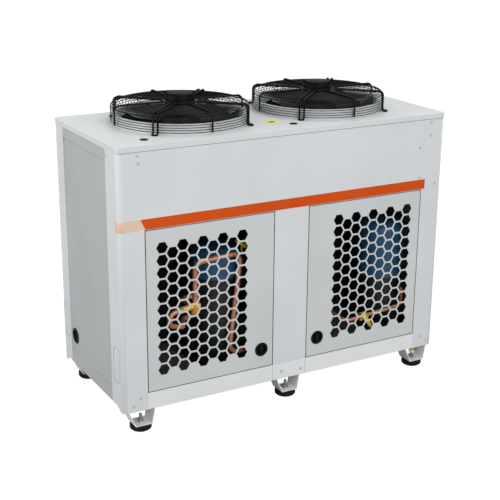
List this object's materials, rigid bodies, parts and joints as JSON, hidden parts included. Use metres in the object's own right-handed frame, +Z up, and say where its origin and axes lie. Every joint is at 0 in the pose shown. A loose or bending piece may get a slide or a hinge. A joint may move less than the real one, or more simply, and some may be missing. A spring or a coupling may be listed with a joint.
{
  "type": "refrigeration condensing unit",
  "caption": "Air-cooled refrigeration condensing unit: a low cabinet on rubber-footed brackets, with fans under wire guards on the deck and perforated service doors over the compressor bay.",
  "frame": {"origin": "on the floor, midway between the cabinet's sides and midway between its front and back", "axes": "+X along the front to the right as seen from the front, +Y from the front towards the coil at the back, +Z up"},
  "size_m": [1.5, 0.65, 1.267],
  "materials": {
    "cabinet_paint": "satin",
    "door_paint": "satin",
    "air_ring_paint": "satin",
    "orange_paint": "satin",
    "pale_orange_paint": "satin",
    "black_paint": "satin",
    "blue_paint": "satin",
    "galvanised_sheet": "satin",
    "zinc_steel": "satin",
    "black_rubber": "matte",
    "black_plastic": "matte",
    "grey_plastic": "matte",
    "yellow_plastic": "glossy",
    "copper": "satin",
    "valve_brass": "satin",
    "fin_aluminium": "satin"
  },
  "bodies": {
    "cabinet": {"accent_strip": "orange_paint", "accent_tail": "pale_orange_paint", "angle_valve": "valve_brass", "ball_valve": "valve_brass", "base_rail_front": "cabinet_paint", "base_rail_left": "cabinet_paint", "base_rail_rear": "cabinet_paint", "base_rail_right": "cabinet_paint", "base_tray": "galvanised_sheet", "centre_post_front": "cabinet_paint", "compartment_baffle": "galvanised_sheet", "compressor_mounts": "black_rubber", "compressor_shells": "blue_paint", "condenser_coil": "fin_aluminium", "control_box": "grey_plastic", "copper_loop": "copper", "corner_post_front_left": "cabinet_paint", "corner_post_front_right": "cabinet_paint", "corner_post_rear_left": "cabinet_paint", "corner_post_rear_right": "cabinet_paint", "fan_guard_left": "black_paint", "fan_guard_right": "black_paint", "fan_motors": "black_paint", "fan_nozzles": "air_ring_paint", "leg_bolts": "zinc_steel", "leg_bracket_front_left": "cabinet_paint", "leg_bracket_front_middle": "cabinet_paint", "leg_bracket_front_right": "cabinet_paint", "leg_bracket_rear_left": "cabinet_paint", "leg_bracket_rear_middle": "cabinet_paint", "leg_bracket_rear_right": "cabinet_paint", "liquid_line": "copper", "liquid_receiver": "blue_paint", "rubber_bushes": "black_rubber", "rubber_feet": "black_rubber", "side_panel_left": "cabinet_paint", "side_panel_right": "cabinet_paint", "terminal_boxes": "grey_plastic", "top_deck": "cabinet_paint", "upper_panel_front": "cabinet_paint", "upper_panel_rear": "cabinet_paint"},
    "door_left": {"door_left": "door_paint", "door_hardware_left": "black_plastic"},
    "door_right": {"door_right": "door_paint", "door_hardware_right": "black_plastic"},
    "latch_left": {"latch_turner_left": "black_plastic"},
    "latch_right": {"latch_turner_right": "black_plastic"},
    "fan_left": {"fan_impeller_left": "black_paint"},
    "fan_right": {"fan_impeller_right": "black_paint"},
    "liquid_valve_handle": {"valve_lever": "yellow_plastic"}
  },
  "joints": [
    {"name": "fan_left_spin", "type": "hinge", "parent": "cabinet", "child": "fan_left", "pos_m": [-0.325, 0.022, 1.18], "axis": [0, 0, 1], "continuous": true},
    {"name": "fan_right_spin", "type": "hinge", "parent": "cabinet", "child": "fan_right", "pos_m": [0.325, 0.022, 1.18], "axis": [0, 0, 1], "continuous": true},
    {"name": "door_left_hinge", "type": "hinge", "parent": "cabinet", "child": "door_left", "pos_m": [-0.631, -0.3147, 0.5], "axis": [0, 0, -1], "range_deg": [0, 105]},
    {"name": "door_right_hinge", "type": "hinge", "parent": "cabinet", "child": "door_right", "pos_m": [0.631, -0.3147, 0.5], "axis": [0, 0, 1], "range_deg": [0, 105]},
    {"name": "latch_left_turn", "type": "hinge", "parent": "door_left", "child": "latch_left", "pos_m": [-0.135, -0.31, 0.247], "axis": [0, 1, 0], "range_deg": [0, 90]},
    {"name": "latch_right_turn", "type": "hinge", "parent": "door_right", "child": "latch_right", "pos_m": [0.135, -0.31, 0.247], "axis": [0, -1, 0], "range_deg": [0, 90]},
    {"name": "valve_lever_turn", "type": "hinge", "parent": "cabinet", "child": "liquid_valve_handle", "pos_m": [0.412, -0.272, 0.26907], "axis": [0, 1, 0], "range_deg": [-55, 35]}
  ]
}
